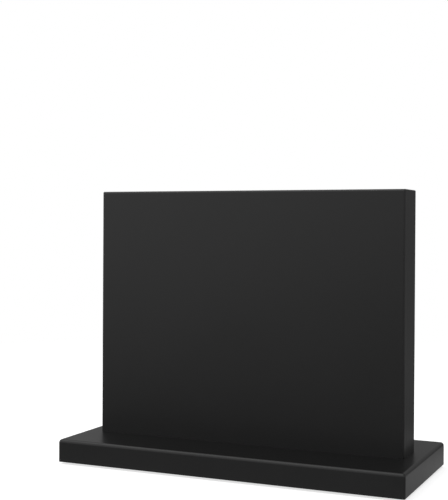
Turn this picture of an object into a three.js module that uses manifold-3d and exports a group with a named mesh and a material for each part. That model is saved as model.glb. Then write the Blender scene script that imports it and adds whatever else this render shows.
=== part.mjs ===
// Magnetic knife rack: an upright black board with hidden magnets behind both faces, on a wide base.
// Millimetres. +X runs along the board's width, +Y from its front to its back, and +Z up.
// The origin is on the table, under the middle of the base.
import * as THREE from "three";
import { mergeVertices } from "three/addons/utils/BufferGeometryUtils.js";
import Module from "manifold-3d";

const wasm = await Module();
wasm.setup();

// Driving dimensions
const board = { width: 300, height: 231, panel: 9, core: 18, roundOver: 2, cornerEase: 1 };
const base = { length: 330, depth: 138, thickness: 21, cornerRadius: 2, roundOver: 3, bottomEase: 0.8 };
const magnet = { radius: 10, thickness: 5, skin: 1.8, pocketClearance: 0.2, glueFilm: 0.1 };
const keeperBar = { width: 22, thickness: 2, overhang: 17, grooveClearance: 0.2, faceGap: 0.05 };
const magnetRows = [
  { name: "top", belowTop: 30, count: 5 },
  { name: "middle", belowTop: 90, count: 4 },
  { name: "bottom", belowTop: 150, count: 5 },
];
const magnetPitch = 60;
const foot = { radius: 10, thickness: 3.5, proud: 2, edgeInset: 20, taper: 0.7, rimEase: 0.4 };
const footRecess = { clearance: 0.2, glueFilm: 0.1 };
const bolt = { shankRadius: 3, length: 30, headRadius: 5.25, headHeight: 3.3, headRim: 0.4, tipChamfer: 0.8 };
const hexSocket = { acrossFlats: 4, depth: 2 };
const washer = { innerRadius: 3.2, outerRadius: 6, thickness: 1.6 };
const counterbore = { radius: 8, depth: 8, throughRadius: 3.3 };
const insert = { outerRadius: 5, boreRadius: 3.1, length: 15, setBack: 0.5, mouthChamfer: 0.6 };
const insertHole = { clearance: 0.1, depth: 18 };
const boltPlaces = [-100, 0, 100];
const dowel = { radius: 4, length: 30, intoBase: 12, chamfer: 1, holeClearance: 0.1, endGap: 0.5 };
const dowelPlaces = [-50, 50];

// Worked out from the driving dimensions
const baseBottom = foot.proud;
const baseTop = baseBottom + base.thickness;
const boardTop = baseTop + board.height;
const boardDepth = board.core + 2 * board.panel;
const frontFace = -boardDepth / 2;
const coreFace = -board.core / 2;
const counterboreTop = baseBottom + counterbore.depth;

const cutOvershoot = 1; // how far a cutting solid runs past the face it opens
const roundSegments = 24;
const magnetSegments = 32;
const arcSegments = 5; // in a quarter turn of a rounded edge
const slotSegments = 10; // in a half turn of a slot's end

const materials = {
  lacquer: new THREE.MeshStandardMaterial({ color: 0x1a1a1a, roughness: 0.4, metalness: 0 }),
  rawWood: new THREE.MeshStandardMaterial({ color: 0xc59f6e, roughness: 0.75, metalness: 0 }),
  nickel: new THREE.MeshStandardMaterial({ color: 0xc9c6bf, roughness: 0.2, metalness: 1 }),
  zincSteel: new THREE.MeshStandardMaterial({ color: 0xa9adb2, roughness: 0.4, metalness: 1 }),
  blackSteel: new THREE.MeshStandardMaterial({ color: 0x222224, roughness: 0.45, metalness: 0.9 }),
  brass: new THREE.MeshStandardMaterial({ color: 0xc8a24a, roughness: 0.35, metalness: 1 }),
  rubber: new THREE.MeshStandardMaterial({ color: 0x2b2b2b, roughness: 0.9, metalness: 0 }),
};

const rack = new THREE.Group();

function addPiece(parent, name, geometry, material) {
  const mesh = new THREE.Mesh(geometry, material);
  mesh.name = name;
  parent.add(mesh);
  return mesh;
}

// Solids for cutting: a closed geometry with its shared vertices merged, and back again
function solidFrom(geometry) {
  const bare = geometry.clone();
  bare.deleteAttribute("normal");
  bare.deleteAttribute("uv");
  const merged = mergeVertices(bare, 1e-4);
  return new wasm.Manifold(
    new wasm.Mesh({
      numProp: 3,
      vertProperties: new Float32Array(merged.attributes.position.array),
      triVerts: new Uint32Array(merged.index.array),
    }),
  );
}

function geometryFrom(solid) {
  const { vertProperties, triVerts } = solid.getMesh();
  const geometry = new THREE.BufferGeometry();
  geometry.setAttribute("position", new THREE.BufferAttribute(vertProperties, 3));
  geometry.setIndex(new THREE.BufferAttribute(triVerts, 1));
  geometry.computeVertexNormals();
  return geometry;
}

// A rectangle with a radius of its own at each corner, given anticlockwise from the lower left
function roundedRectangle([left, low], [right, high], radii) {
  const corners = [
    [left, low, 1, 1],
    [right, low, -1, 1],
    [right, high, -1, -1],
    [left, high, 1, -1],
  ];
  const outline = corners.flatMap(([x, y, inwardX, inwardY], i) => {
    const radius = radii[i];
    const steps = radius > 0 ? arcSegments : 0;
    return Array.from({ length: steps + 1 }, (_, step) => {
      const angle = Math.PI + ((i + step / arcSegments) * Math.PI) / 2;
      return new THREE.Vector2(
        x + radius * (inwardX + Math.cos(angle)),
        y + radius * (inwardY + Math.sin(angle)),
      );
    });
  });
  return new THREE.Shape(outline);
}

// A slot with round ends, lying along X
function slotShape(length, width, centreHeight) {
  const shape = new THREE.Shape();
  const radius = width / 2;
  const reach = length / 2 - radius;
  shape.absarc(reach, centreHeight, radius, -Math.PI / 2, Math.PI / 2);
  shape.absarc(-reach, centreHeight, radius, Math.PI / 2, Math.PI * 1.5);
  return shape;
}

// Extrudes a shape drawn in Y-Z along X, in X-Z along Y, or in X-Y along Z
function extrudeAlong(axis, shape, start, end) {
  const [x, y, z] = [new THREE.Vector3(1, 0, 0), new THREE.Vector3(0, 1, 0), new THREE.Vector3(0, 0, 1)];
  const bases = { x: [y, z, x], y: [x, z, y.clone().negate()], z: [x, y, z] };
  const geometry = new THREE.ExtrudeGeometry(shape, {
    depth: end - start,
    bevelEnabled: false,
    curveSegments: slotSegments,
  });
  geometry.translate(0, 0, axis === "y" ? -end : start);
  return geometry.applyMatrix4(new THREE.Matrix4().makeBasis(...bases[axis]));
}

// A block whose edges are rounded as its plan, its end view and its front view say
function roundedBlock({ x, y, z }, plan, end, front) {
  const planBlock = extrudeAlong("z", roundedRectangle([x[0], y[0]], [x[1], y[1]], plan), ...z);
  const endBlock = extrudeAlong("x", roundedRectangle([y[0], z[0]], [y[1], z[1]], end), ...x);
  const frontBlock = extrudeAlong("y", roundedRectangle([x[0], z[0]], [x[1], z[1]], front), ...y);
  return solidFrom(planBlock).intersect(solidFrom(endBlock)).intersect(solidFrom(frontBlock));
}

function uprightCylinder(radius, bottom, top, x, y, segments = roundSegments) {
  return new THREE.CylinderGeometry(radius, radius, top - bottom, segments)
    .rotateX(Math.PI / 2)
    .translate(x, y, (top + bottom) / 2);
}

// A cylinder that lies front to back, as the magnets do
function facingCylinder(radius, front, back, x, z) {
  return new THREE.CylinderGeometry(radius, radius, back - front, magnetSegments).translate(
    x,
    (front + back) / 2,
    z,
  );
}

// A turned piece: a profile of [radius, height] pairs that starts and ends on the axis, spun about Z
function turned(profile, segments = roundSegments) {
  const points = profile.map(([radius, height]) => new THREE.Vector2(radius, height));
  return new THREE.LatheGeometry(points, segments).rotateX(Math.PI / 2);
}

function rowHeight(row) {
  return boardTop - row.belowTop;
}

function rowPlaces(row) {
  return Array.from({ length: row.count }, (_, i) => (i - (row.count - 1) / 2) * magnetPitch);
}

function barLength(row) {
  return (row.count - 1) * magnetPitch + 2 * keeperBar.overhang;
}

// Face panel, drawn as the front one: its outer edges are rounded over, and its inner face is milled
// with a groove for each keeper bar and, deeper, a round pocket for each magnet.
function facePanel() {
  const extent = {
    x: [-board.width / 2, board.width / 2],
    y: [frontFace, coreFace],
    z: [baseTop, boardTop],
  };
  const { roundOver, cornerEase } = board;
  const plan = [roundOver, roundOver, 0, 0];
  const end = [0, 0, 0, roundOver];
  const front = [0, 0, cornerEase, cornerEase];
  let panel = roundedBlock(extent, plan, end, front);
  const pocketFloor = frontFace + magnet.skin;
  const openSide = coreFace + cutOvershoot;
  for (const row of magnetRows) {
    const groove = slotShape(
      barLength(row) + 2 * keeperBar.grooveClearance,
      keeperBar.width + 2 * keeperBar.grooveClearance,
      rowHeight(row),
    );
    const grooveFloor = coreFace - keeperBar.thickness - 2 * keeperBar.faceGap;
    panel = panel.subtract(solidFrom(extrudeAlong("y", groove, grooveFloor, openSide)));
    for (const x of rowPlaces(row)) {
      const pocketRadius = magnet.radius + magnet.pocketClearance;
      const pocket = facingCylinder(pocketRadius, pocketFloor, openSide, x, rowHeight(row));
      panel = panel.subtract(solidFrom(pocket));
    }
  }
  return geometryFrom(panel);
}

// One half of the board: its panel, its magnets and the steel bars that tie each row's magnets together
function addHalf(side) {
  const half = new THREE.Group();
  rack.add(half);
  addPiece(half, `${side}_panel`, facePanel(), materials.lacquer);
  const magnetFront = frontFace + magnet.skin + magnet.glueFilm;
  const barBack = coreFace - keeperBar.faceGap;
  let number = 0;
  for (const row of magnetRows) {
    const outline = slotShape(barLength(row), keeperBar.width, rowHeight(row));
    const bar = extrudeAlong("y", outline, barBack - keeperBar.thickness, barBack);
    addPiece(half, `${side}_keeper_bar_${row.name}`, bar, materials.zincSteel);
    for (const x of rowPlaces(row)) {
      number += 1;
      const magnetBack = magnetFront + magnet.thickness;
      const disc = facingCylinder(magnet.radius, magnetFront, magnetBack, x, rowHeight(row));
      addPiece(half, `${side}_magnet_${String(number).padStart(2, "0")}`, disc, materials.nickel);
    }
  }
  return half;
}

// Core board between the panels, bored from below for the threaded inserts and the dowels
function coreBoard() {
  let core = roundedBlock(
    { x: [-board.width / 2, board.width / 2], y: [coreFace, -coreFace], z: [baseTop, boardTop] },
    [0, 0, 0, 0],
    [0, 0, 0, 0],
    [0, 0, board.cornerEase, board.cornerEase],
  );
  const below = baseTop - cutOvershoot;
  for (const x of boltPlaces) {
    const radius = insert.outerRadius + insertHole.clearance;
    core = core.subtract(solidFrom(uprightCylinder(radius, below, baseTop + insertHole.depth, x, 0)));
  }
  for (const x of dowelPlaces) {
    const top = baseTop + dowel.length - dowel.intoBase + dowel.endGap;
    core = core.subtract(solidFrom(uprightCylinder(dowel.radius + dowel.holeClearance, below, top, x, 0)));
  }
  return geometryFrom(core);
}

// Base board: rounded over along its top, counterbored from below for the bolts, with a shallow
// recess for each foot and blind holes for the dowels
function baseBoard() {
  const extent = {
    x: [-base.length / 2, base.length / 2],
    y: [-base.depth / 2, base.depth / 2],
    z: [baseBottom, baseTop],
  };
  const plan = Array(4).fill(base.cornerRadius);
  const sides = [base.bottomEase, base.bottomEase, base.roundOver, base.roundOver];
  const below = baseBottom - cutOvershoot;
  const above = baseTop + cutOvershoot;
  let plank = roundedBlock(extent, plan, sides, sides);
  const cutters = [];
  for (const x of boltPlaces) {
    cutters.push(uprightCylinder(counterbore.radius, below, counterboreTop, x, 0));
    cutters.push(uprightCylinder(counterbore.throughRadius, below, above, x, 0));
  }
  for (const x of dowelPlaces) {
    const bottom = baseTop - dowel.intoBase - dowel.endGap;
    cutters.push(uprightCylinder(dowel.radius + dowel.holeClearance, bottom, above, x, 0));
  }
  for (const [x, y] of footPlaces()) {
    const recessTop = foot.thickness + footRecess.glueFilm;
    cutters.push(uprightCylinder(foot.radius + footRecess.clearance, below, recessTop, x, y));
  }
  for (const cutter of cutters) plank = plank.subtract(solidFrom(cutter));
  return geometryFrom(plank);
}

function footPlaces() {
  const x = base.length / 2 - foot.edgeInset;
  const y = base.depth / 2 - foot.edgeInset;
  return [
    [-x, -y],
    [x, -y],
    [-x, y],
    [x, y],
  ];
}

function footPad() {
  const { radius, thickness, proud, taper, rimEase } = foot;
  return turned([
    [0, 0],
    [radius - taper - rimEase, 0],
    [radius - taper, rimEase],
    [radius, proud],
    [radius, thickness],
    [0, thickness],
  ]);
}

// Button-head bolt, head down, with a hexagon socket
function baseBolt() {
  const { shankRadius, length, headRadius, headHeight, headRim, tipChamfer } = bolt;
  const seat = counterboreTop - washer.thickness;
  const headBottom = seat - headHeight;
  const tip = seat + length;
  const domeSteps = 4;
  const dome = [];
  for (let i = 0; i <= domeSteps; i += 1) {
    const lean = (i / domeSteps) * (Math.PI / 2);
    dome.push([
      shankRadius + (headRadius - shankRadius) * Math.sin(lean),
      headBottom + (headHeight - headRim) * (1 - Math.cos(lean)),
    ]);
  }
  const profile = [
    [0, headBottom],
    ...dome,
    [headRadius, seat],
    [shankRadius, seat],
    [shankRadius, tip - tipChamfer],
    [shankRadius - tipChamfer, tip],
    [0, tip],
  ];
  const socketRadius = hexSocket.acrossFlats / Math.sqrt(3);
  const socketTop = headBottom + hexSocket.depth;
  const socket = uprightCylinder(socketRadius, headBottom - cutOvershoot, socketTop, 0, 0, 6);
  return geometryFrom(solidFrom(turned(profile)).subtract(solidFrom(socket)));
}

// A plain washer, whose profile closes on itself
function flatWasher() {
  const { innerRadius, outerRadius, thickness } = washer;
  const bottom = counterboreTop - thickness;
  return turned([
    [innerRadius, bottom],
    [outerRadius, bottom],
    [outerRadius, counterboreTop],
    [innerRadius, counterboreTop],
    [innerRadius, bottom],
  ]);
}

// Threaded insert, screwed up into the core, with a chamfered mouth for the bolt
function threadedInsert() {
  const bottom = baseTop + insert.setBack;
  const { outerRadius, boreRadius, length, mouthChamfer } = insert;
  return turned([
    [boreRadius + mouthChamfer, bottom],
    [outerRadius, bottom],
    [outerRadius, bottom + length],
    [boreRadius, bottom + length],
    [boreRadius, bottom + mouthChamfer],
    [boreRadius + mouthChamfer, bottom],
  ]);
}

function alignmentDowel() {
  const bottom = baseTop - dowel.intoBase;
  const { radius, length, chamfer } = dowel;
  return turned([
    [0, bottom],
    [radius - chamfer, bottom],
    [radius, bottom + chamfer],
    [radius, bottom + length - chamfer],
    [radius - chamfer, bottom + length],
    [0, bottom + length],
  ]);
}

addHalf("front");
addHalf("rear").scale.set(-1, -1, 1); // half a turn about Z
addPiece(rack, "core_board", coreBoard(), materials.lacquer);
addPiece(rack, "base_board", baseBoard(), materials.lacquer);

boltPlaces.forEach((x, i) => {
  addPiece(rack, `base_bolt_${i + 1}`, baseBolt(), materials.blackSteel).position.x = x;
  addPiece(rack, `base_washer_${i + 1}`, flatWasher(), materials.zincSteel).position.x = x;
  addPiece(rack, `threaded_insert_${i + 1}`, threadedInsert(), materials.brass).position.x = x;
});
dowelPlaces.forEach((x, i) => {
  addPiece(rack, `alignment_dowel_${i + 1}`, alignmentDowel(), materials.rawWood).position.x = x;
});
footPlaces().forEach(([x, y], i) => {
  addPiece(rack, `rubber_foot_${i + 1}`, footPad(), materials.rubber).position.set(x, y, 0);
});

export default rack;
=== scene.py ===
import math
import bpy
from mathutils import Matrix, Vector


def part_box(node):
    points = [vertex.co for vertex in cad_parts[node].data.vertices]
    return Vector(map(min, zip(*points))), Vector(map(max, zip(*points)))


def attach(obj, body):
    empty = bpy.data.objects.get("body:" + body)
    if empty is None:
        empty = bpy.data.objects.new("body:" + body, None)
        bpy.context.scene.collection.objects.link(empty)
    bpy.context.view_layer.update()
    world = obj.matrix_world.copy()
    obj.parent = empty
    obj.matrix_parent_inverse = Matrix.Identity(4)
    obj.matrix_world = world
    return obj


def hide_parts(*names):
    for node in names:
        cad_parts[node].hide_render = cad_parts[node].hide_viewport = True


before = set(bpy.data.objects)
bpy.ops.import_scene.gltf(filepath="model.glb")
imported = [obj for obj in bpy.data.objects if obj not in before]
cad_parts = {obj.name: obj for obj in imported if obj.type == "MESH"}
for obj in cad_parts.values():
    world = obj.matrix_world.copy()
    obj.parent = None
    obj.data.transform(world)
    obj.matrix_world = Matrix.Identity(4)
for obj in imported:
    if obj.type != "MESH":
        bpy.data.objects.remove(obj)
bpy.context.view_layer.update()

mm = 0.001
tiny = 0.01 * mm  # closer than this counts as touching
mergeGap = 0.001 * mm
cutOvershoot = 1 * mm  # how far a cutter runs past the face that it opens


def deselectAll():
    if bpy.context.mode != "OBJECT":
        bpy.ops.object.mode_set(mode="OBJECT")
    bpy.ops.object.select_all(action="DESELECT")


def pickObject(piece):
    deselectAll()
    piece.select_set(True)
    bpy.context.view_layer.objects.active = piece


def startEdit(piece, mode="EDGE", action="DESELECT"):
    pickObject(piece)
    bpy.ops.object.mode_set(mode="EDIT")
    bpy.ops.mesh.select_mode(type=mode)
    bpy.ops.mesh.select_all(action=action)


def pickVertices(piece, wanted):  # wanted looks at a vertex's place
    startEdit(piece, "VERT")
    bpy.ops.object.mode_set(mode="OBJECT")
    for vertex in piece.data.vertices:
        vertex.select = wanted(vertex.co)
    bpy.ops.object.mode_set(mode="EDIT")


def pickEdges(piece, wanted):  # wanted looks at an edge's middle and the way it runs
    startEdit(piece, "EDGE")
    bpy.ops.object.mode_set(mode="OBJECT")
    places = [vertex.co for vertex in piece.data.vertices]
    for edge in piece.data.edges:
        a, b = (places[index] for index in edge.vertices)
        edge.select = wanted((a + b) / 2, b - a)
    bpy.ops.object.mode_set(mode="EDIT")


def pickFaces(piece, wanted):  # wanted looks at a face's middle and normal
    startEdit(piece, "FACE")
    bpy.ops.object.mode_set(mode="OBJECT")
    for face in piece.data.polygons:
        face.select = wanted(face.center, face.normal)
    bpy.ops.object.mode_set(mode="EDIT")


def applyModifier(piece, kind, **settings):
    pickObject(piece)
    modifier = piece.modifiers.new(kind.lower(), kind)
    for key, value in settings.items():
        setattr(modifier, key, value)
    bpy.ops.object.modifier_apply(modifier=modifier.name)


def placeInMesh(piece):
    pickObject(piece)
    bpy.ops.object.transform_apply(location=True, rotation=True, scale=True)


def tidyMesh(piece):
    startEdit(piece, "VERT", "SELECT")
    bpy.ops.mesh.remove_doubles(threshold=mergeGap)
    bpy.ops.mesh.normals_make_consistent(inside=False)
    deselectAll()


def smoothFaces(piece, angle=35):
    pickObject(piece)
    bpy.ops.object.shade_smooth_by_angle(angle=math.radians(angle))
    applyModifier(piece, "WEIGHTED_NORMAL", keep_sharp=True, weight=90)


def removeObject(piece):
    pickObject(piece)
    bpy.ops.object.delete()


def twinOf(piece, name):
    pickObject(piece)
    bpy.ops.object.duplicate()
    twin = bpy.context.object
    twin.name = name
    return twin


def standFor(piece, node):
    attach(piece, "root")
    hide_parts(node)


def middleOf(node):
    low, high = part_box(node)
    return (Vector(low) + Vector(high)) / 2


def sizeOf(node):
    low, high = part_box(node)
    return Vector(high) - Vector(low)


def near(a, b):
    return abs(a - b) < tiny


# Node trees: small helpers, then the effects that several finishes share

def feed(tree, socket, value):
    if isinstance(value, bpy.types.NodeSocket):
        tree.links.new(value, socket)
    else:
        socket.default_value = value


def addNode(tree, kind, *inputs, **settings):  # inputs are (socket, value) pairs
    node = tree.nodes.new("ShaderNode" + kind)
    for key, value in settings.items():
        setattr(node, key, value)
    for socket, value in inputs:
        feed(tree, node.inputs[socket], value)
    return node


def calc(tree, operation, *values, **settings):
    pairs = list(enumerate(values))
    return addNode(tree, "Math", *pairs, operation=operation, **settings).outputs[0]


def spread(tree, value, low, high, toLow=0.0, toHigh=1.0):  # low..high becomes toLow..toHigh
    ends = [("From Min", low), ("From Max", high), ("To Min", toLow), ("To Max", toHigh)]
    return addNode(tree, "MapRange", ("Value", value), *ends).outputs[0]


def mixValues(tree, share, first, second):
    return addNode(tree, "Mix", (0, share), (2, first), (3, second)).outputs[0]


def mixShaders(tree, share, first, second):
    return addNode(tree, "MixShader", (0, share), (1, first), (2, second)).outputs[0]


def blendColours(tree, share, first, second):
    pairs = [(0, share), (6, first), (7, second)]
    return addNode(tree, "Mix", *pairs, data_type="RGBA").outputs[2]


def stretched(tree, place, scale):
    return addNode(tree, "VectorMath", (0, place), (1, scale), operation="MULTIPLY").outputs[0]


def lengthOf(tree, vector):
    return addNode(tree, "VectorMath", (0, vector), operation="LENGTH").outputs["Value"]


def alike(tree, first, second):  # 1 where two directions agree, -1 where they are opposite
    pairs = [(0, first), (1, second)]
    return addNode(tree, "VectorMath", *pairs, operation="DOT_PRODUCT").outputs["Value"]


def noise(tree, place, scale, detail=2.0, rough=0.5):
    pairs = [("Vector", place), ("Scale", scale), ("Detail", detail), ("Roughness", rough)]
    return addNode(tree, "TexNoise", *pairs).outputs["Fac"]


def startGroup(name, inputs, outputs):
    group = bpy.data.node_groups.new(name, "ShaderNodeTree")
    for label, kind, value in inputs:
        socket = group.interface.new_socket(name=label, in_out="INPUT", socket_type="NodeSocket" + kind)
        if value is not None:
            socket.default_value = value
    for label, kind in outputs:
        group.interface.new_socket(name=label, in_out="OUTPUT", socket_type="NodeSocket" + kind)
    given = group.nodes.new("NodeGroupInput").outputs
    result = group.nodes.new("NodeGroupOutput").inputs
    return group, given, result


def useGroup(tree, group, **values):  # each key is the name of one of the group's inputs
    node = tree.nodes.new("ShaderNodeGroup")
    node.node_tree = group
    for key, value in values.items():
        feed(tree, node.inputs[key], value)
    return node.outputs


def makeEdgeWearAndSheen():  # 1 along the edges, broken up by noise: where hands and cloths rub, and in the lacquer also a painted sheen
    group, given, result = startGroup(
        "edgeWearAndSheen",
        [("Place", "Vector", None), ("Width", "Float", 0.001), ("Breakup", "Float", 400.0)],
        [("Mask", "Float")],
    )
    rounded = addNode(group, "Bevel", ("Radius", given["Width"]), samples=6).outputs[0]
    plain = addNode(group, "NewGeometry").outputs["Normal"]
    turned = spread(group, alike(group, rounded, plain), 0.995, 0.85)
    patchy = spread(group, noise(group, given["Place"], given["Breakup"], 3.0), 0.38, 0.62)
    feed(group, result["Mask"], calc(group, "MULTIPLY", turned, patchy, use_clamp=True))
    return group


def makeCloudy():  # broad soft patches with a finer mottle on top, 0 to 1
    group, given, result = startGroup(
        "cloudy",
        [("Place", "Vector", None), ("Scale", "Float", 15.0), ("Mottle", "Float", 0.3)],
        [("Value", "Float")],
    )
    broad = noise(group, given["Place"], given["Scale"], 3.0, 0.55)
    fine = noise(group, given["Place"], calc(group, "MULTIPLY", given["Scale"], 9.0), 2.0, 0.6)
    mixed = mixValues(group, given["Mottle"], broad, fine)
    feed(group, result["Value"], spread(group, mixed, 0.3, 0.7))
    return group


def makeWipeMarks():  # thin broken lines along one way, as wiping and sliding leave them
    group, given, result = startGroup(
        "wipeMarks",
        [
            ("Place", "Vector", None),
            ("Stretch", "Vector", (1.0, 1.0, 0.04)),
            ("Scale", "Float", 900.0),
            ("Sparseness", "Float", 0.66),
        ],
        [("Mask", "Float")],
    )
    along = stretched(group, given["Place"], given["Stretch"])
    wander = calc(group, "MULTIPLY", noise(group, given["Place"], 25.0, 1.0), 4 * mm)
    bent = addNode(group, "VectorMath", (0, along), (1, wander), operation="ADD").outputs[0]
    lines = noise(group, bent, given["Scale"], 1.0)
    high = calc(group, "ADD", given["Sparseness"], 0.08)
    thin = spread(group, lines, given["Sparseness"], high)
    patch = spread(group, noise(group, given["Place"], 18.0, 2.0), 0.45, 0.65)
    feed(group, result["Mask"], calc(group, "MULTIPLY", thin, patch, use_clamp=True))
    return group


def makeFineGrain():  # an even fine texture for bump: sprayed film, moulded rubber, plating
    group, given, result = startGroup(
        "fineGrain",
        [("Place", "Vector", None), ("Scale", "Float", 500.0), ("Sharpness", "Float", 0.5)],
        [("Height", "Float")],
    )
    soft = noise(group, given["Place"], given["Scale"], 2.0, 0.5)
    crisp = noise(group, given["Place"], calc(group, "MULTIPLY", given["Scale"], 3.2), 3.0, 0.65)
    feed(group, result["Height"], mixValues(group, given["Sharpness"], soft, crisp))
    return group


def makeTurnedRings():  # fine rings about an upright axis that repeats along X, as a lathe leaves them
    group, given, result = startGroup(
        "turnedRings",
        [("Place", "Vector", None), ("Pitch", "Float", 0.1), ("Spacing", "Float", 0.00025)],
        [("Height", "Float")],
    )
    parts = addNode(group, "SeparateXYZ", (0, given["Place"])).outputs
    half = calc(group, "MULTIPLY", given["Pitch"], 0.5)
    minus = calc(group, "MULTIPLY", half, -1.0)
    across = calc(group, "WRAP", parts["X"], half, minus)
    flat = addNode(group, "CombineXYZ", ("X", across), ("Y", parts["Y"])).outputs[0]
    outAndUp = calc(group, "ADD", lengthOf(group, flat), parts["Z"])
    turns = calc(group, "DIVIDE", outAndUp, given["Spacing"])
    row = addNode(group, "CombineXYZ", ("X", turns)).outputs[0]
    feed(group, result["Height"], noise(group, row, 1.0, 1.0))
    return group


edgeWearAndSheen = makeEdgeWearAndSheen()
cloudy = makeCloudy()
wipeMarks = makeWipeMarks()
fineGrain = makeFineGrain()
turnedRings = makeTurnedRings()


def startMaterial(name, **plain):  # plain values stay on the shader's own sockets
    material = bpy.data.materials.new(name)
    material.use_nodes = True
    tree = material.node_tree
    shader = tree.nodes["Principled BSDF"]
    for key, value in plain.items():
        shader.inputs[key].default_value = value
    place = addNode(tree, "TexCoord").outputs["Object"]
    return material, tree, shader.inputs, place


def bump(tree, height, depth, strength=1.0):
    pairs = [("Height", height), ("Distance", depth), ("Strength", strength)]
    return addNode(tree, "Bump", *pairs).outputs[0]


def patchesOf(tree, place, look):
    return useGroup(tree, cloudy, Place=place, Scale=look["patchScale"], Mottle=look["mottle"])["Value"]


def edgeWearAndSheenOf(tree, place, look):
    return useGroup(tree, edgeWearAndSheen, Place=place, Width=look["rubWidth"], Breakup=look["rubScale"])["Mask"]


def grainOf(tree, place, look):
    pairs = {"Place": place, "Scale": look["grainScale"], "Sharpness": look["grainSharpness"]}
    return useGroup(tree, fineGrain, **pairs)["Height"]


def ringsOf(tree, place, look):
    pairs = {"Place": place, "Pitch": look["axisPitch"], "Spacing": look["ringSpacing"]}
    return useGroup(tree, turnedRings, **pairs)["Height"]


satinLacquer = {
    "deep": (0.0050, 0.0050, 0.0051, 1),
    "thin": (0.0062, 0.0062, 0.0063, 1),
    # lighter along the edges: partly rubbed-through film, partly a painted sheen on the rounded edges
    "wornEdgeAndSheen": (0.011, 0.011, 0.011, 1),
    "edgeWearAndSheenShare": 0.6,
    "smooth": 0.30,
    "dull": 0.335,
    "rubbedDull": 0.05,  # added to the roughness where the film is rubbed or wiped
    "wipedDull": 0.05,
    "patchScale": 11.0,
    "mottle": 0.3,
    "rubWidth": 1.2 * mm,
    "rubScale": 260.0,
    "wipeStretch": (1, 1, 0.05),
    "wipeScale": 700.0,
    "grainScale": 420.0,
    "grainSharpness": 0.2,
    "peelDepth": 0.006 * mm,
}


def makeSatinLacquer():
    look = satinLacquer
    material, tree, shader, place = startMaterial("satinLacquer")
    patches = patchesOf(tree, place, look)
    edgeWearAndSheenMask = edgeWearAndSheenOf(tree, place, look)
    lines = {"Stretch": look["wipeStretch"], "Scale": look["wipeScale"]}
    wipes = useGroup(tree, wipeMarks, Place=place, **lines)["Mask"]
    film = blendColours(tree, patches, look["deep"], look["thin"])
    # the edges are painted lighter: partly wear, partly a painted sheen in place of the edge highlights
    edgeWearAndSheenShare = calc(tree, "MULTIPLY", edgeWearAndSheenMask, look["edgeWearAndSheenShare"])
    feed(tree, shader["Base Color"], blendColours(tree, edgeWearAndSheenShare, film, look["wornEdgeAndSheen"]))
    dullness = spread(tree, patches, 0.0, 1.0, look["smooth"], look["dull"])
    dullness = calc(tree, "MULTIPLY_ADD", edgeWearAndSheenMask, look["rubbedDull"], dullness)
    dullness = calc(tree, "MULTIPLY_ADD", wipes, look["wipedDull"], dullness)
    feed(tree, shader["Roughness"], dullness)
    feed(tree, shader["Normal"], bump(tree, grainOf(tree, place, look), look["peelDepth"]))
    return material


rawFibreboard = {
    "pale": (0.36, 0.235, 0.13, 1),
    "brown": (0.23, 0.135, 0.065, 1),
    "fleck": (0.10, 0.055, 0.026, 1),
    "smooth": 0.78,
    "dull": 0.92,
    "patchScale": 60.0,
    "mottle": 0.6,
    "fibreStretch": (1.0, 0.35, 1.0),
    "fibreScale": 1500.0,
    "fleckSpan": (0.60, 0.72),  # where the fibre noise shows as flecks
    "fibreDepth": 0.05 * mm,
    "fibreStrength": 0.8,
}


def makeRawFibreboard():
    look = rawFibreboard
    material, tree, shader, place = startMaterial("rawFibreboard")
    patches = patchesOf(tree, place, look)
    fibres = noise(tree, stretched(tree, place, look["fibreStretch"]), look["fibreScale"], 3.0, 0.7)
    flecks = spread(tree, fibres, *look["fleckSpan"])
    ground = blendColours(tree, patches, look["pale"], look["brown"])
    feed(tree, shader["Base Color"], blendColours(tree, flecks, ground, look["fleck"]))
    feed(tree, shader["Roughness"], spread(tree, fibres, 0.2, 0.8, look["dull"], look["smooth"]))
    feed(tree, shader["Normal"], bump(tree, fibres, look["fibreDepth"], look["fibreStrength"]))
    return material


nickelPlate = {
    "bright": (0.66, 0.63, 0.58, 1),
    "stained": (0.50, 0.47, 0.42, 1),
    "stainShare": 0.6,
    "worn": (0.74, 0.72, 0.69, 1),
    "smooth": 0.16,
    "dull": 0.32,
    "markDull": 0.14,
    "patchScale": 90.0,
    "mottle": 0.35,
    "rubWidth": 0.5 * mm,
    "rubScale": 900.0,
    "markStretch": (0.06, 1, 1),
    "markScale": 2600.0,
    "markSparseness": 0.6,
    "markHeight": -0.5,  # the marks are scored into the plating
    "grainScale": 1400.0,
    "grainSharpness": 0.4,
    "grainDepth": 0.004 * mm,
}


def makeNickelPlate():
    look = nickelPlate
    material, tree, shader, place = startMaterial("nickelPlate", Metallic=1.0)
    patches = patchesOf(tree, place, look)
    edgeWearAndSheenMask = edgeWearAndSheenOf(tree, place, look)
    lines = {"Stretch": look["markStretch"], "Scale": look["markScale"]}
    lines["Sparseness"] = look["markSparseness"]
    marks = useGroup(tree, wipeMarks, Place=place, **lines)["Mask"]
    stain = calc(tree, "MULTIPLY", patches, look["stainShare"])
    plate = blendColours(tree, stain, look["bright"], look["stained"])
    feed(tree, shader["Base Color"], blendColours(tree, edgeWearAndSheenMask, plate, look["worn"]))
    dullness = spread(tree, patches, 0.0, 1.0, look["smooth"], look["dull"])
    feed(tree, shader["Roughness"], calc(tree, "MULTIPLY_ADD", marks, look["markDull"], dullness))
    scored = calc(tree, "MULTIPLY_ADD", marks, look["markHeight"], grainOf(tree, place, look))
    feed(tree, shader["Normal"], bump(tree, scored, look["grainDepth"]))
    return material


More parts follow.
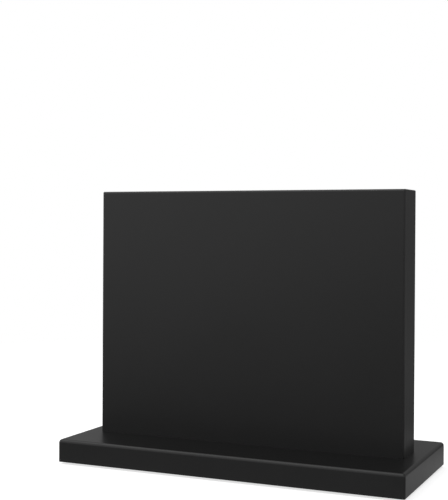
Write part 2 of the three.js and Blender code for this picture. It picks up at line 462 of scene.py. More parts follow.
zincSteel = {
    "bright": (0.60, 0.62, 0.645, 1),
    "dark": (0.44, 0.455, 0.48, 1),
    "worn": (0.70, 0.71, 0.72, 1),
    "smooth": 0.30,
    "dull": 0.48,
    "rolledDull": 0.06,
    "flakeScale": 420.0,
    "patchScale": 70.0,
    "mottle": 0.5,
    "patchShare": 0.65,
    "rubWidth": 0.4 * mm,
    "rubScale": 700.0,
    "rolledStretch": (0.05, 1.0, 1.0),
    "rolledScale": 3200.0,
    "rolledDepth": 0.008 * mm,
}


def makeZincSteel():
    look = zincSteel
    material, tree, shader, place = startMaterial("zincSteel", Metallic=1.0)
    flakes = addNode(tree, "TexVoronoi", ("Vector", place), ("Scale", look["flakeScale"]))
    flake = addNode(tree, "SeparateColor", (0, flakes.outputs["Color"])).outputs["Red"]
    tone = mixValues(tree, look["patchShare"], flake, patchesOf(tree, place, look))
    skin = blendColours(tree, tone, look["bright"], look["dark"])
    feed(tree, shader["Base Color"], blendColours(tree, edgeWearAndSheenOf(tree, place, look), skin, look["worn"]))
    rolled = noise(tree, stretched(tree, place, look["rolledStretch"]), look["rolledScale"], 2.0)
    dullness = spread(tree, tone, 0.0, 1.0, look["smooth"], look["dull"])
    feed(tree, shader["Roughness"], calc(tree, "MULTIPLY_ADD", rolled, look["rolledDull"], dullness))
    feed(tree, shader["Normal"], bump(tree, rolled, look["rolledDepth"]))
    return material


blackOxide = {
    "coat": (0.026, 0.026, 0.028, 1),
    "thinCoat": (0.045, 0.044, 0.044, 1),
    "steel": (0.36, 0.35, 0.34, 1),
    "edgeWearAndSheenShare": 0.7,
    "smooth": 0.36,
    "dull": 0.52,
    "rubbedDull": -0.1,  # bare steel is smoother than the coat
    "patchScale": 160.0,
    "mottle": 0.5,
    "rubWidth": 0.25 * mm,
    "rubScale": 1400.0,
    "axisPitch": 100 * mm,  # the bolts stand this far apart along X
    "ringSpacing": 0.2 * mm,
    "ringShare": 0.5,
    "grainScale": 1800.0,
    "grainSharpness": 0.6,
    "grainDepth": 0.01 * mm,
}


def makeBlackOxide():
    look = blackOxide
    material, tree, shader, place = startMaterial("blackOxide", Metallic=0.9)
    patches = patchesOf(tree, place, look)
    edgeWearAndSheenMask = edgeWearAndSheenOf(tree, place, look)
    coat = blendColours(tree, patches, look["coat"], look["thinCoat"])
    edgeWearAndSheenShare = calc(tree, "MULTIPLY", edgeWearAndSheenMask, look["edgeWearAndSheenShare"])
    feed(tree, shader["Base Color"], blendColours(tree, edgeWearAndSheenShare, coat, look["steel"]))
    dullness = spread(tree, patches, 0.0, 1.0, look["smooth"], look["dull"])
    feed(tree, shader["Roughness"], calc(tree, "MULTIPLY_ADD", edgeWearAndSheenMask, look["rubbedDull"], dullness))
    rings = ringsOf(tree, place, look)
    mixed = calc(tree, "MULTIPLY_ADD", rings, look["ringShare"], grainOf(tree, place, look))
    feed(tree, shader["Normal"], bump(tree, mixed, look["grainDepth"]))
    return material


turnedBrass = {
    "bright": (0.78, 0.56, 0.24, 1),
    "tarnished": (0.50, 0.33, 0.13, 1),
    "tarnishShare": 0.7,
    "worn": (0.86, 0.68, 0.36, 1),
    "smooth": 0.22,
    "dull": 0.42,
    "patchScale": 140.0,
    "mottle": 0.4,
    "rubWidth": 0.3 * mm,
    "rubScale": 1100.0,
    "axisPitch": 100 * mm,  # the inserts stand this far apart along X
    "ringSpacing": 0.18 * mm,
    "ringDepth": 0.012 * mm,
}


def makeTurnedBrass():
    look = turnedBrass
    material, tree, shader, place = startMaterial("turnedBrass", Metallic=1.0)
    patches = patchesOf(tree, place, look)
    tarnish = calc(tree, "MULTIPLY", patches, look["tarnishShare"])
    metal = blendColours(tree, tarnish, look["bright"], look["tarnished"])
    feed(tree, shader["Base Color"], blendColours(tree, edgeWearAndSheenOf(tree, place, look), metal, look["worn"]))
    feed(tree, shader["Roughness"], spread(tree, patches, 0.0, 1.0, look["smooth"], look["dull"]))
    feed(tree, shader["Normal"], bump(tree, ringsOf(tree, place, look), look["ringDepth"]))
    return material


rawBeech = {
    "pale": (0.66, 0.455, 0.27, 1),
    "dark": (0.50, 0.31, 0.165, 1),
    "ray": (0.43, 0.26, 0.135, 1),
    "smooth": 0.52,
    "dull": 0.68,
    "grainStretch": (1.0, 1.0, 0.06),
    "grainScale": 900.0,
    "rayStretch": (1.0, 1.0, 0.12),
    "rayScale": 3600.0,
    "raySpan": (0.60, 0.72),  # where the ray noise shows as dark dashes
    "rayHeight": -0.4,
    "poreDepth": 0.03 * mm,
}


def makeRawBeech():
    look = rawBeech
    material, tree, shader, place = startMaterial("rawBeech")
    grain = noise(tree, stretched(tree, place, look["grainStretch"]), look["grainScale"], 4.0, 0.6)
    dashes = noise(tree, stretched(tree, place, look["rayStretch"]), look["rayScale"], 1.0)
    rays = spread(tree, dashes, *look["raySpan"])
    wood = blendColours(tree, spread(tree, grain, 0.35, 0.65), look["pale"], look["dark"])
    feed(tree, shader["Base Color"], blendColours(tree, rays, wood, look["ray"]))
    feed(tree, shader["Roughness"], spread(tree, grain, 0.3, 0.7, look["smooth"], look["dull"]))
    pores = calc(tree, "MULTIPLY_ADD", rays, look["rayHeight"], grain)
    feed(tree, shader["Normal"], bump(tree, pores, look["poreDepth"]))
    return material


footRubber = {
    "clean": (0.020, 0.020, 0.0205, 1),
    "dusty": (0.060, 0.058, 0.055, 1),
    "edgeDust": 0.4,
    "patchDust": 0.3,
    "smooth": 0.62,
    "dull": 0.84,
    "patchScale": 120.0,
    "mottle": 0.5,
    "rubWidth": 0.5 * mm,
    "rubScale": 600.0,
    "grainScale": 1500.0,
    "grainSharpness": 0.6,
    "grainDepth": 0.03 * mm,
}


def makeFootRubber():
    look = footRubber
    material, tree, shader, place = startMaterial("footRubber")
    patches = patchesOf(tree, place, look)
    edgeWearAndSheenMask = edgeWearAndSheenOf(tree, place, look)
    dust = calc(tree, "MULTIPLY", patches, look["patchDust"])
    dust = calc(tree, "MULTIPLY_ADD", edgeWearAndSheenMask, look["edgeDust"], dust)
    feed(tree, shader["Base Color"], blendColours(tree, dust, look["clean"], look["dusty"]))
    feed(tree, shader["Roughness"], spread(tree, patches, 0.0, 1.0, look["smooth"], look["dull"]))
    feed(tree, shader["Normal"], bump(tree, grainOf(tree, place, look), look["grainDepth"]))
    return material


lacquer = makeSatinLacquer()
fibreboard = makeRawFibreboard()
nickel = makeNickelPlate()
zinc = makeZincSteel()
oxide = makeBlackOxide()
brass = makeTurnedBrass()
beech = makeRawBeech()
rubber = makeFootRubber()
print("finishes done")


# Ways of making that several pieces share

def addBlock(name, size, middle):
    deselectAll()
    bpy.ops.mesh.primitive_cube_add(size=1, location=middle)
    piece = bpy.context.object
    piece.name = name
    piece.scale = size
    placeInMesh(piece)
    return piece


def roundEdges(piece, edgeWidths, segments):  # edgeWidths are (radius, which edges) pairs
    widest = max(width for width, wanted in edgeWidths)
    for width, wanted in edgeWidths:
        pickEdges(piece, wanted)
        bpy.ops.transform.edge_bevelweight(value=width / widest)
    applyModifier(piece, "BEVEL", width=widest, segments=segments, limit_method="WEIGHT")


def turnPiece(name, rings, sides):  # rings are (radius, height) pairs, about the Z axis at the origin
    radius, height = rings[0]
    deselectAll()
    bpy.ops.mesh.primitive_circle_add(vertices=sides, radius=radius, location=(0, 0, height))
    piece = bpy.context.object
    piece.name = name
    placeInMesh(piece)
    startEdit(piece, "EDGE", "SELECT")
    for nextRadius, nextHeight in rings[1:]:
        rise = (0, 0, nextHeight - height)
        grow = nextRadius / radius
        bpy.ops.mesh.extrude_region_move(TRANSFORM_OT_translate={"value": rise})
        bpy.ops.transform.resize(value=(grow, grow, 1), center_override=(0, 0, nextHeight))
        radius, height = nextRadius, nextHeight
    bpy.ops.mesh.select_all(action="SELECT")
    bpy.ops.mesh.remove_doubles(threshold=mergeGap)
    bpy.ops.mesh.fill_holes(sides=0)
    deselectAll()
    tidyMesh(piece)
    return piece


def easeRims(piece, width, segments=3, sharperThan=40):
    limit = {"limit_method": "ANGLE", "angle_limit": math.radians(sharperThan)}
    applyModifier(piece, "BEVEL", width=width, segments=segments, **limit)


def cutAway(piece, cutter, operation="DIFFERENCE"):
    how = {"operation": operation, "solver": "EXACT", "material_mode": "TRANSFER"}
    applyModifier(piece, "BOOLEAN", object=cutter, **how)
    removeObject(cutter)


def joinPieces(pieces):
    deselectAll()
    for piece in pieces:
        piece.select_set(True)
    bpy.context.view_layer.objects.active = pieces[0]
    bpy.ops.object.join()
    return pieces[0]


def addDrill(radius, bottom, top, x, y, sides=64):  # an upright cutting cylinder
    drill = turnPiece("drill", [(radius, bottom), (radius, top)], sides)
    drill.location = (x, y, 0)
    placeInMesh(drill)
    drill.data.materials.append(fibreboard)
    return drill


def paintFaces(piece, slot, wanted):
    pickFaces(piece, wanted)
    piece.active_material_index = slot
    bpy.ops.object.material_slot_assign()
    deselectAll()


def copyTo(template, node, name, turned=False, standing=False):
    twin = twinOf(template, name)
    twin.location = middleOf(node)
    if standing:
        twin.location.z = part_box(node)[0][2]
    if turned:
        twin.rotation_euler.z = math.pi
    placeInMesh(twin)
    standFor(twin, node)


toothOutline = {"rest": 0.14, "flank": 0.29}  # heights of the flats and flanks, in pitches


def addThread(name, rootRadius, crestRadius, pitch, bottom, top, steps):
    # one tooth's outline, drawn from a single vertex and screwed up the Z axis
    deselectAll()
    bpy.ops.mesh.primitive_plane_add(size=pitch, location=(rootRadius, 0, bottom - pitch))
    piece = bpy.context.object
    piece.name = name
    placeInMesh(piece)
    startEdit(piece, "VERT", "SELECT")
    bpy.ops.mesh.merge(type="CENTER")
    out = crestRadius - rootRadius
    rest = toothOutline["rest"]
    flank = toothOutline["flank"]
    for moveOut, moveUp in ((0, rest), (out, flank), (0, rest), (-out, flank), (0, rest)):
        step = (moveOut, 0, moveUp * pitch)
        bpy.ops.mesh.extrude_region_move(TRANSFORM_OT_translate={"value": step})
    deselectAll()
    turns = math.ceil((top - bottom) / pitch) + 2
    screw = {"axis": "Z", "angle": math.tau, "screw_offset": pitch, "use_normal_calculate": True}
    applyModifier(piece, "SCREW", iterations=turns, steps=steps, render_steps=steps, **screw)
    tidyMesh(piece)
    for height, drop in ((bottom, "clear_inner"), (top, "clear_outer")):
        startEdit(piece, "VERT", "SELECT")
        plane = {"plane_co": (0, 0, height), "plane_no": (0, 0, 1), drop: True}
        bpy.ops.mesh.bisect(use_fill=True, **plane)
        deselectAll()
    tidyMesh(piece)
    return piece


# The boards: lacquered outside, raw inside the pockets, the holes and the glued faces

boardShape = {
    "roundOver": 2 * mm,
    "endEase": 1 * mm,
    "seam": 0.12 * mm,
    "segments": 8,
}
magnetPocket = {"clearance": 0.2 * mm, "floorGap": 0.1 * mm, "sides": 64}
barGroove = {"clearance": 0.2 * mm, "gap": 0.05 * mm, "endSegments": 24}
rawSlot = 1  # the boards' second material
square = 0.99  # a normal's part along an axis, when the face looks that way
halves = ("front", "rear")
rowNames = ("top", "middle", "bottom")
magnetCount = 14
magnetNodes = ["magnet_%02d" % number for number in range(1, magnetCount + 1)]


def addBarShape(name, size, middle, endSegments):  # a flat bar with round ends
    piece = addBlock(name, size, middle)
    endRadius = size[2] / 2 * 0.998  # a full half would leave edges of no length
    roundEdges(piece, [(endRadius, lambda mid, way: abs(way.y) > tiny)], endSegments)
    tidyMesh(piece)
    return piece


def cutMagnetRows(panel):
    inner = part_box("front_panel")[1][1]
    grooves = []
    for row in rowNames:
        node = "front_keeper_bar_" + row
        size = sizeOf(node)
        size.x += 2 * barGroove["clearance"]
        size.z += 2 * barGroove["clearance"]
        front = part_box(node)[0][1] - barGroove["gap"]
        back = inner + cutOvershoot
        middle = middleOf(node)
        middle.y = (front + back) / 2
        size.y = back - front
        grooves.append(addBarShape("groove", size, middle, barGroove["endSegments"]))
    groove = joinPieces(grooves)
    groove.data.materials.append(fibreboard)
    cutAway(panel, groove)
    pockets = []
    for magnetNode in magnetNodes:
        node = "front_" + magnetNode
        middle = middleOf(node)
        radius = sizeOf(node).x / 2 + magnetPocket["clearance"]
        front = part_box(node)[0][1] - magnetPocket["floorGap"]
        depth = inner - front + cutOvershoot
        pocket = turnPiece("pocket", [(radius, 0), (radius, depth)], magnetPocket["sides"])
        pocket.rotation_euler.x = -math.pi / 2
        pocket.location = (middle.x, front, middle.z)
        placeInMesh(pocket)
        pocket.data.materials.append(fibreboard)
        pockets.append(pocket)
    cutAway(panel, joinPieces(pockets))


def makeFrontPanel():
    low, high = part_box("front_panel")
    panel = addBlock("frontPanel", sizeOf("front_panel"), middleOf("front_panel"))
    panel.data.materials.append(lacquer)
    panel.data.materials.append(fibreboard)
    shape = boardShape

    def outerRim(mid, way):
        return near(mid.y, low[1]) and not near(mid.z, low[2])

    def topEnds(mid, way):
        return not near(way.y, 0) and near(mid.z, high[2])

    def innerRim(mid, way):
        return near(mid.y, high[1]) and not near(mid.z, low[2])

    rims = [(shape["roundOver"], outerRim), (shape["endEase"], topEnds), (shape["seam"], innerRim)]
    roundEdges(panel, rims, shape["segments"])
    paintFaces(panel, rawSlot, lambda middle, normal: normal.y > square or normal.z < -square)
    cutMagnetRows(panel)
    tidyMesh(panel)
    smoothFaces(panel)
    return panel


def makePanels():
    front = makeFrontPanel()
    rear = twinOf(front, "rearPanel")
    rear.rotation_euler.z = math.pi
    placeInMesh(rear)
    standFor(front, "front_panel")
    standFor(rear, "rear_panel")


coreHoles = {
    "insertClearance": 0.1 * mm,
    "insertDepth": 18 * mm,
    "dowelClearance": 0.1 * mm,
    "dowelEndGap": 0.5 * mm,
}
boltNumbers = ("1", "2", "3")
dowelNumbers = ("1", "2")


def makeCoreBoard():
    low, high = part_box("core_board")
    core = addBlock("coreBoard", sizeOf("core_board"), middleOf("core_board"))
    core.data.materials.append(lacquer)
    core.data.materials.append(fibreboard)
    shape = boardShape

    def topEnds(mid, way):
        return not near(way.y, 0) and near(mid.z, high[2])

    def faceRims(mid, way):
        return near(way.y, 0) and not near(mid.z, low[2])

    roundEdges(core, [(shape["endEase"], topEnds), (shape["seam"], faceRims)], shape["segments"])
    paintFaces(core, rawSlot, lambda middle, normal: abs(normal.y) > square or normal.z < -square)
    drills = []
    below = low[2] - cutOvershoot
    for number in boltNumbers:
        node = "threaded_insert_" + number
        radius = sizeOf(node).x / 2 + coreHoles["insertClearance"]
        drills.append(addDrill(radius, below, low[2] + coreHoles["insertDepth"], middleOf(node).x, 0))
    for number in dowelNumbers:
        node = "alignment_dowel_" + number
        radius = sizeOf(node).x / 2 + coreHoles["dowelClearance"]
        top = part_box(node)[1][2] + coreHoles["dowelEndGap"]
        drills.append(addDrill(radius, below, top, middleOf(node).x, 0))
    cutAway(core, joinPieces(drills))
    tidyMesh(core)
    smoothFaces(core)
    standFor(core, "core_board")


baseShape = {
    "topRound": 3 * mm,
    "bottomEase": 0.8 * mm,
    "cornerRadius": 2 * mm,
    "segments": 8,
    "counterboreRadius": 8 * mm,
    "boltHoleRadius": 3.3 * mm,
    "footClearance": 0.2 * mm,
    "footGlue": 0.1 * mm,
}
footNumbers = ("1", "2", "3", "4")


def makeBaseBoard():
    low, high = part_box("base_board")
    plank = addBlock("baseBoard", sizeOf("base_board"), middleOf("base_board"))
    plank.data.materials.append(lacquer)
    plank.data.materials.append(fibreboard)
    shape = baseShape
    rims = [
        (shape["topRound"], lambda mid, way: near(mid.z, high[2])),
        (shape["bottomEase"], lambda mid, way: near(mid.z, low[2])),
        (shape["cornerRadius"], lambda mid, way: not near(way.z, 0)),
    ]
    roundEdges(plank, rims, shape["segments"])
    below = low[2] - cutOvershoot
    above = high[2] + cutOvershoot
    wide = []
    narrow = []
    for number in boltNumbers:
        x = middleOf("base_bolt_" + number).x
        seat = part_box("base_washer_" + number)[1][2]
        wide.append(addDrill(shape["counterboreRadius"], below, seat, x, 0))
        narrow.append(addDrill(shape["boltHoleRadius"], below, above, x, 0))
    for number in dowelNumbers:
        node = "alignment_dowel_" + number
        radius = sizeOf(node).x / 2 + coreHoles["dowelClearance"]
        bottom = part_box(node)[0][2] - coreHoles["dowelEndGap"]
        wide.append(addDrill(radius, bottom, above, middleOf(node).x, 0))
    for number in footNumbers:
        node = "rubber_foot_" + number
        middle = middleOf(node)
        radius = sizeOf(node).x / 2 + shape["footClearance"]
        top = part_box(node)[1][2] + shape["footGlue"]
        wide.append(addDrill(radius, below, top, middle.x, middle.y))
    cutAway(plank, joinPieces(wide))
    cutAway(plank, joinPieces(narrow))
    tidyMesh(plank)
    smoothFaces(plank)
    standFor(plank, "base_board")


makePanels()
makeCoreBoard()
makeBaseBoard()
print("boards done")

magnetShape = {"rim": 0.45 * mm, "rimSegments": 4, "sides": 72}
barShape = {"rim": 0.2 * mm, "endSegments": 24}


def makeMagnets():
    size = sizeOf("front_magnet_01")
    radius = size.x / 2
    half = size.y / 2
    disc = turnPiece("magnetTemplate", [(radius, -half), (radius, half)], magnetShape["sides"])
    easeRims(disc, magnetShape["rim"], magnetShape["rimSegments"])
    disc.rotation_euler.x = math.pi / 2
    placeInMesh(disc)
    disc.data.materials.append(nickel)
    smoothFaces(disc)
    for side in halves:
        for node in magnetNodes:
            name = side + "Magnet" + node[-2:]
            copyTo(disc, side + "_" + node, name, turned=side == "rear")
    removeObject(disc)


def makeKeeperBars():
    for row in rowNames:
        size = sizeOf("front_keeper_bar_" + row)
        bar = addBarShape("barTemplate", size, (0, 0, 0), barShape["endSegments"])
        easeRims(bar, barShape["rim"])
        bar.data.materials.append(zinc)
        smoothFaces(bar)
        for side in halves:
            name = side + "KeeperBar" + row.capitalize()
            copyTo(bar, side + "_keeper_bar_" + row, name, turned=side == "rear")
        removeObject(bar)


makeMagnets()
makeKeeperBars()
print("magnets and bars done")

boltShape = {
    "headHeight": 3.3 * mm,
    "headRim": 0.4 * mm,
    "headEase": 0.08 * mm,
    "domeSteps": 10,
    "crownRadius": 1.2 * mm,
    "shankRadius": 3 * mm,
    "rootRadius": 2.42 * mm,
    "neckRadius": 2.52 * mm,
    "neckLength": 2 * mm,
    "runOut": (0.8 * mm, 1.5 * mm),  # where the thread starts and is full, from the seat
    "pitch": 1 * mm,
    "tipChamfer": 0.8 * mm,
    "spare": 0.05 * mm,  # the thread's outline clears its crests by this
    "hexAcross": 4 * mm,
    "hexDepth": 2 * mm,
    "hexMouth": (1.12, 0.25 * mm),  # how many times wider at the crown, and how deep
    "hexEnd": (0.25, 0.5 * mm),  # the drill's cone below, in the same way
    "sharpAngle": 32,
    "sides": 64,
    "steps": 28,
}


def domeRings():  # from the crown out to the head's edge
    shape = boltShape
    shank = shape["shankRadius"]
    reach = sizeOf("base_bolt_1").x / 2 - shank
    rise = shape["headHeight"] - shape["headRim"]
    rings = [(shape["crownRadius"], 0)]
    for step in range(shape["domeSteps"] + 1):
        lean = step / shape["domeSteps"] * math.pi / 2
        rings.append((shank + reach * math.sin(lean), rise * (1 - math.cos(lean))))
    return rings


def addBoltThread(length):
    shape = boltShape
    root = shape["rootRadius"]
    seat = shape["headHeight"]
    start, full = shape["runOut"]
    tip = shape["tipChamfer"]
    heights = (seat + start, length + cutOvershoot / 2)
    thread = addThread("thread", root, shape["shankRadius"], shape["pitch"], *heights, shape["steps"])
    reach = shape["shankRadius"] + shape["spare"]
    outline = [(root + 0.03 * mm, seat + start + 0.1 * mm), (reach, seat + full)]
    outline += [(reach, length - tip), (shape["shankRadius"] - tip, length)]
    cutAway(thread, turnPiece("threadOutline", outline, shape["sides"]), "INTERSECT")
    return thread


def addHexSocket():  # six-sided, with a countersunk mouth and a drill's cone at its end
    radius = boltShape["hexAcross"] / math.sqrt(3)
    depth = boltShape["hexDepth"]
    widen, mouthDepth = boltShape["hexMouth"]
    narrow, coneDepth = boltShape["hexEnd"]
    mouth = radius * widen
    rings = [(mouth, -cutOvershoot), (mouth, 0), (radius, mouthDepth)]
    rings += [(radius, depth), (radius * narrow, depth + coneDepth)]
    return turnPiece("socket", rings, 6)


def makeBolts():
    shape = boltShape
    size = sizeOf("base_bolt_1")
    radius = size.x / 2
    seat = shape["headHeight"]
    ease = shape["headEase"]
    rings = domeRings() + [(radius, seat - ease), (radius - ease, seat)]
    rings += [(shape["neckRadius"], seat), (shape["neckRadius"], seat + shape["neckLength"])]
    bolt = turnPiece("boltTemplate", rings, shape["sides"])
    cutAway(bolt, addBoltThread(size.z), "UNION")
    cutAway(bolt, addHexSocket())
    tidyMesh(bolt)
    bolt.data.materials.clear()
    bolt.data.materials.append(oxide)
    smoothFaces(bolt, shape["sharpAngle"])
    for number in boltNumbers:
        copyTo(bolt, "base_bolt_" + number, "baseBolt" + number, standing=True)
    removeObject(bolt)


washerShape = {"innerRadius": 3.2 * mm, "rim": 0.25 * mm, "sides": 64}


def makeWashers():
    size = sizeOf("base_washer_1")
    inner = washerShape["innerRadius"]
    outer = size.x / 2
    outline = [(inner, 0), (outer, 0), (outer, size.z), (inner, size.z), (inner, 0)]
    ring = turnPiece("washerTemplate", outline, washerShape["sides"])
    easeRims(ring, washerShape["rim"])
    ring.data.materials.append(zinc)
    smoothFaces(ring)
    for number in boltNumbers:
        copyTo(ring, "base_washer_" + number, "baseWasher" + number, standing=True)
    removeObject(ring)


insertShape = {
    "rootRadius": 4.15 * mm,
    "pitch": 2.2 * mm,
    "boreRadius": 3.1 * mm,
    "mouthChamfer": 0.6 * mm,
    "topEase": 0.3 * mm,
    "slotWidth": 1.4 * mm,
    "slotDepth": 1.6 * mm,
    "sharpAngle": 32,
    "sides": 64,
    "steps": 48,
}


def makeInserts():
    shape = insertShape
    size = sizeOf("threaded_insert_1")
    bore = shape["boreRadius"]
    chamfer = shape["mouthChamfer"]
    ease = shape["topEase"]
    radii = (shape["rootRadius"], size.x / 2)
    sleeve = addThread("insertTemplate", *radii, shape["pitch"], 0, size.z, shape["steps"])
    hole = [(bore + 2 * chamfer, -chamfer), (bore, chamfer)]
    hole += [(bore, size.z - ease), (bore + 2 * ease, size.z + ease)]
    cutAway(sleeve, turnPiece("bore", hole, shape["sides"]))
    slotSize = (size.x + 2 * cutOvershoot, shape["slotWidth"], 2 * shape["slotDepth"])
    cutAway(sleeve, addBlock("slot", slotSize, (0, 0, 0)))
    tidyMesh(sleeve)
    sleeve.data.materials.clear()
    sleeve.data.materials.append(brass)
    smoothFaces(sleeve, shape["sharpAngle"])
    for number in boltNumbers:
        name = "threadedInsert" + number
        copyTo(sleeve, "threaded_insert_" + number, name, standing=True)
    removeObject(sleeve)


dowelShape = {
    "chamfer": 1 * mm,
    "ease": 0.25 * mm,
    "flutes": 24,
    "fluteDepth": 0.28 * mm,
    "sidesPerFlute": 4,
    "sharpAngle": 50,
}


def makeDowels():
    shape = dowelShape
    size = sizeOf("alignment_dowel_1")
    radius = size.x / 2
    chamfer = shape["chamfer"]
    end = radius - chamfer
    eased = radius - shape["ease"]
    lower = [(end, 0), (eased, 0.75 * chamfer), (radius, 1.4 * chamfer)]
    outline = lower + [(ring, size.z - height) for ring, height in reversed(lower)]
    flutes = shape["flutes"]
    peg = turnPiece("dowelTemplate", outline, flutes * shape["sidesPerFlute"])

    def inFlute(place):
        turn = math.atan2(place.y, place.x) / math.tau * flutes
        atSide = place.xy.length > (end + eased) / 2
        return atSide and abs(turn - round(turn)) < 0.1

    pickVertices(peg, inFlute)
    shrink = 1 - shape["fluteDepth"] / radius
    bpy.ops.transform.resize(value=(shrink, shrink, 1), center_override=(0, 0, size.z / 2))
    deselectAll()
    peg.data.materials.append(beech)
    smoothFaces(peg, shape["sharpAngle"])
    for number in dowelNumbers:
        copyTo(peg, "alignment_dowel_" + number, "alignmentDowel" + number, standing=True)
    removeObject(peg)


makeBolts()
makeWashers()
makeInserts()
makeDowels()
print("fasteners done")

footShape = {
    "treadRadius": 8.9 * mm,
    "shoulderRadius": 9.3 * mm,
    "shoulderHeight": 0.4 * mm,
    "proud": 2 * mm,
    "grooves": (2.4 * mm, 4.6 * mm, 6.8 * mm),
    "grooveWidth": 0.9 * mm,
    "grooveDepth": 0.3 * mm,
    "grooveSlope": 0.15 * mm,
    "centreRadius": 1.2 * mm,
    "rim": 0.08 * mm,
    "rimAngle": 25,  # degrees, so that the grooves' slopes are eased too
    "sides": 72,
}


def makeFeet():
    shape = footShape
    size = sizeOf("rubber_foot_1")
    radius = size.x / 2
    slope = shape["grooveSlope"]
    depth = shape["grooveDepth"]
    outline = [(shape["centreRadius"], 0)]
    for start in shape["grooves"]:
        end = start + shape["grooveWidth"]
        outline += [(start, 0), (start + slope, depth), (end - slope, depth), (end, 0)]
    outline += [(shape["treadRadius"], 0), (shape["shoulderRadius"], shape["shoulderHeight"])]
    outline += [(radius, shape["proud"]), (radius, size.z)]
    pad = turnPiece("footTemplate", outline, shape["sides"])
    easeRims(pad, shape["rim"], segments=2, sharperThan=shape["rimAngle"])
    pad.data.materials.append(rubber)
    smoothFaces(pad)
    for number in footNumbers:
        copyTo(pad, "rubber_foot_" + number, "rubberFoot" + number, standing=True)
    removeObject(pad)


makeFeet()
print("feet done")

# The studio. The lacquer mirrors tones of its own in the floor and the surroundings, not the
# plain white that the camera sees. All ways are seen from the rack, with the front towards -Y.

floorLook = {
    "size": 12,
    "colour": (0.8, 0.8, 0.8, 1),
    "glow": 0.68,  # keeps the floor near white, with only a faint shadow
    "fade": (0.45, 1.1),  # how far out it runs into the background
    "nearTones": (0.2, 0.42),  # mirrored close by, in front and behind
    "nearTurn": (-0.15, 0.1),  # where the front's near tone becomes the one behind
    "farTones": (0.21, 0.115),
    "farTurn": (-0.3, 0.3),
    "nearToFar": (0.18, 0.29),
    "brightTone": 0.52,  # far out in front, seen in the upper half of the board
    "brightSpan": (0.66, 0.80),
    "brightReach": (0.45, 2.2),
    "rightReach": (0.4, 1.0),
}
surroundings = {
    "frontTones": [(0.42, 0.2), (0.52, 0.8), (0.9, 0.8)],  # from below to above, 0.5 is level
    "backTones": [(0.40, 0.27), (0.45, 0.115), (0.52, 0.115), (0.62, 0.27), (0.9, 0.29)],
    "frontWay": (-0.47, -0.88, 0),
    "frontSpan": (-0.6, 0.2),
    "leftWay": (-0.87, -0.5, 0),  # the front is brighter towards its left
    "leftSpan": (0.6, 0.95),
    "leftTones": (0.8, 1.15),
    "rightWay": (0.97, 0.24, 0),
    "rightSpan": (0.64, 0.88),
    "rightTone": 0.42,  # seen in the rounded upright edges at the right
}


def towardsRight(tree, way):
    return spread(tree, alike(tree, way, surroundings["rightWay"]), *surroundings["rightSpan"])


def addGlow(tree, strength):
    return addNode(tree, "Emission", ("Strength", strength)).outputs[0]


def mirroredTone(tree, place):
    look = floorLook
    away = lengthOf(tree, place)
    across = addNode(tree, "SeparateXYZ", (0, place)).outputs["Y"]
    way = addNode(tree, "VectorMath", (0, place), operation="NORMALIZE").outputs[0]
    bright = spread(tree, alike(tree, way, surroundings["leftWay"]), *look["brightSpan"])
    bright = calc(tree, "MULTIPLY", bright, spread(tree, away, *look["brightReach"]))
    inFront, behind = look["farTones"]
    inFront = spread(tree, bright, 0.0, 1.0, inFront, look["brightTone"])
    far = spread(tree, across, *look["farTurn"], inFront, behind)
    right = calc(tree, "MULTIPLY", towardsRight(tree, way), spread(tree, away, *look["rightReach"]))
    far = spread(tree, right, 0.0, 1.0, far, surroundings["rightTone"])
    close = spread(tree, across, *look["nearTurn"], *look["nearTones"])
    return mixValues(tree, spread(tree, away, *look["nearToFar"]), close, far)


def makeFloor():
    look = floorLook
    deselectAll()
    bpy.ops.mesh.primitive_plane_add(size=look["size"], location=(0, 0, 0))
    floor = bpy.context.object
    floor.name = "floor"
    material, tree, shader, place = startMaterial("paleFloor", Roughness=0.9)
    shader["Base Color"].default_value = look["colour"]
    shader["Specular IOR Level"].default_value = 0
    surface = tree.nodes["Principled BSDF"].outputs[0]
    lit = addNode(tree, "AddShader", (0, surface), (1, addGlow(tree, look["glow"]))).outputs[0]
    fade = spread(tree, lengthOf(tree, place), *look["fade"])
    shown = mixShaders(tree, fade, lit, addGlow(tree, 1.0))
    glossy = addNode(tree, "LightPath").outputs["Is Glossy Ray"]
    either = mixShaders(tree, glossy, shown, addGlow(tree, mirroredTone(tree, place)))
    under = addNode(tree, "NewGeometry").outputs["Backfacing"]  # clear when seen from below
    clear = addNode(tree, "BsdfTransparent").outputs[0]
    feed(tree, tree.nodes["Material Output"].inputs["Surface"], mixShaders(tree, under, either, clear))
    floor.data.materials.append(material)


def toneRamp(tree, height, stops):
    ramp = addNode(tree, "ValToRGB", ("Fac", height))
    elements = ramp.color_ramp.elements
    while len(elements) < len(stops):
        elements.new(0.5)
    for element, (position, tone) in zip(elements, stops):
        element.position = position
        element.color = (tone, tone, tone, 1)
    return ramp.outputs["Color"]


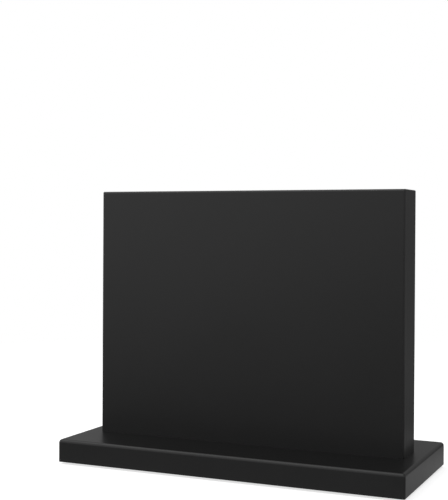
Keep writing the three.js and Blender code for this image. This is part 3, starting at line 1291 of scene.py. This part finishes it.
def makeWorld():
    look = surroundings
    world = bpy.data.worlds.new("studio")
    bpy.context.scene.world = world
    world.use_nodes = True
    tree = world.node_tree
    shown = tree.nodes["Background"]
    shown.inputs["Color"].default_value = (1, 1, 1, 1)
    shown.inputs["Strength"].default_value = 1
    way = addNode(tree, "TexCoord").outputs["Generated"]
    height = spread(tree, addNode(tree, "SeparateXYZ", (0, way)).outputs["Z"], -1.0, 1.0)
    lean = spread(tree, alike(tree, way, look["leftWay"]), *look["leftSpan"], *look["leftTones"])
    front = stretched(tree, toneRamp(tree, height, look["frontTones"]), lean)
    back = toneRamp(tree, height, look["backTones"])
    share = spread(tree, alike(tree, way, look["frontWay"]), *look["frontSpan"])
    level = look["rightTone"]
    right = (level, level, level, 1)
    tone = blendColours(tree, towardsRight(tree, way), blendColours(tree, share, back, front), right)
    light = addNode(tree, "Background", ("Color", tone), ("Strength", 1.0)).outputs[0]
    camera = addNode(tree, "LightPath").outputs["Is Camera Ray"]
    either = mixShaders(tree, camera, light, shown.outputs[0])
    feed(tree, tree.nodes["World Output"].inputs["Surface"], either)


softLights = {
    "overhead": {"place": (-0.5, -0.4, 1.9), "size": (2.2, 2.2), "power": 12},
}
lightAim = (0, 0, 0.13)


def makeLight(name, place, size, power):
    lamp = bpy.data.lights.new(name, "AREA")
    lamp.shape = "RECTANGLE"
    lamp.size, lamp.size_y = size
    lamp.energy = power
    light = bpy.data.objects.new(name, lamp)
    bpy.context.scene.collection.objects.link(light)
    light.location = place
    aim = Vector(lightAim) - Vector(place)
    light.rotation_euler = aim.to_track_quat("-Z", "Y").to_euler()


viewpoint = {
    "place": (0.3809, -0.8762, 0.2196),
    "turn": 23.0,  # degrees to the left of straight ahead
    "down": 0.363,
    "roll": 0.331,
    "lens": 74.34,
    "shift": (-0.0745, -0.0303),
}


def makeCamera():
    data = bpy.data.cameras.new("camera")
    data.lens = viewpoint["lens"]
    data.sensor_width = 36
    data.shift_x, data.shift_y = viewpoint["shift"]
    data.clip_start = 0.01
    camera = bpy.data.objects.new("camera", data)
    bpy.context.scene.collection.objects.link(camera)
    camera.location = viewpoint["place"]
    camera.rotation_euler = (
        math.radians(90 - viewpoint["down"]),
        math.radians(-viewpoint["roll"]),
        math.radians(viewpoint["turn"]),
    )
    bpy.context.scene.camera = camera


makeFloor()
makeWorld()
for name, light in softLights.items():
    makeLight(name, **light)
makeCamera()
bpy.context.scene.view_settings.view_transform = "Standard"
print("studio done")
